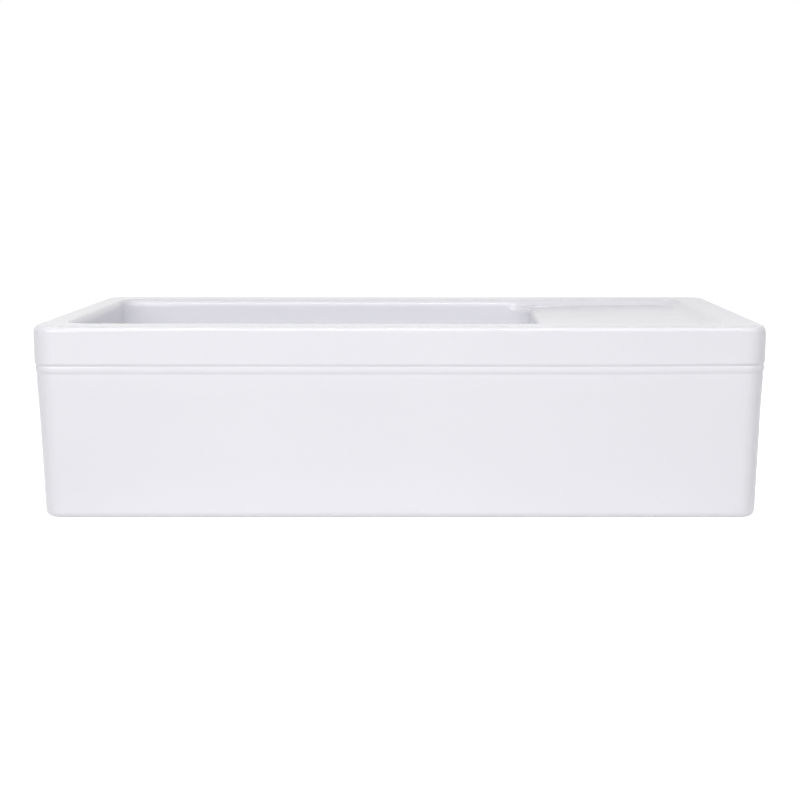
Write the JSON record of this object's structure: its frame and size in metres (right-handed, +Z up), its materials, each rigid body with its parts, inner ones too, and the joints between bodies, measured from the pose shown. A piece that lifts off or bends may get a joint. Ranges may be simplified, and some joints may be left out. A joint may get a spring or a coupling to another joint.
{
  "type": "farmhouse apron front sink",
  "caption": "White fireclay apron-front kitchen sink with one bowl, an integral drainboard on the right and a basket strainer in the drain.",
  "frame": {"origin": "middle of the base, on the surface that the sink stands on", "axes": "+X to the right along the apron, towards the drainboard; +Y to the back; +Z up"},
  "size_m": [1.003, 0.508, 0.266],
  "materials": {
    "white_glaze": "glossy white glaze",
    "polished_steel": "satin stainless steel",
    "seal_foam": "closed-cell foam",
    "black_rubber": "matt black rubber",
    "fibre_board": "pressed fibre",
    "cast_zinc": "die-cast zinc, dull",
    "turned_brass": "turned",
    "chromed_knob": "polished chrome"
  },
  "bodies": {
    "casting": {"sink_body": "white_glaze", "strainer_body": "polished_steel", "flange_seal": "seal_foam", "floor_gasket": "black_rubber", "friction_washer": "fibre_board", "locknut": "cast_zinc"},
    "basket": {"basket_cup": "polished_steel", "basket_bush": "turned_brass", "grip_ring": "black_rubber"},
    "stopper": {"stopper_disc": "black_rubber", "stopper_plate": "polished_steel", "stopper_post": "polished_steel", "post_nut": "turned_brass", "knob": "chromed_knob"}
  },
  "joints": [
    {"name": "basket_lift", "type": "slide", "parent": "casting", "child": "basket", "axis": [0, 0, 1], "range_m": [0, 0.26]},
    {"name": "stopper_travel", "type": "slide", "parent": "basket", "child": "stopper", "axis": [0, 0, 1], "range_m": [0, 0.007]}
  ]
}
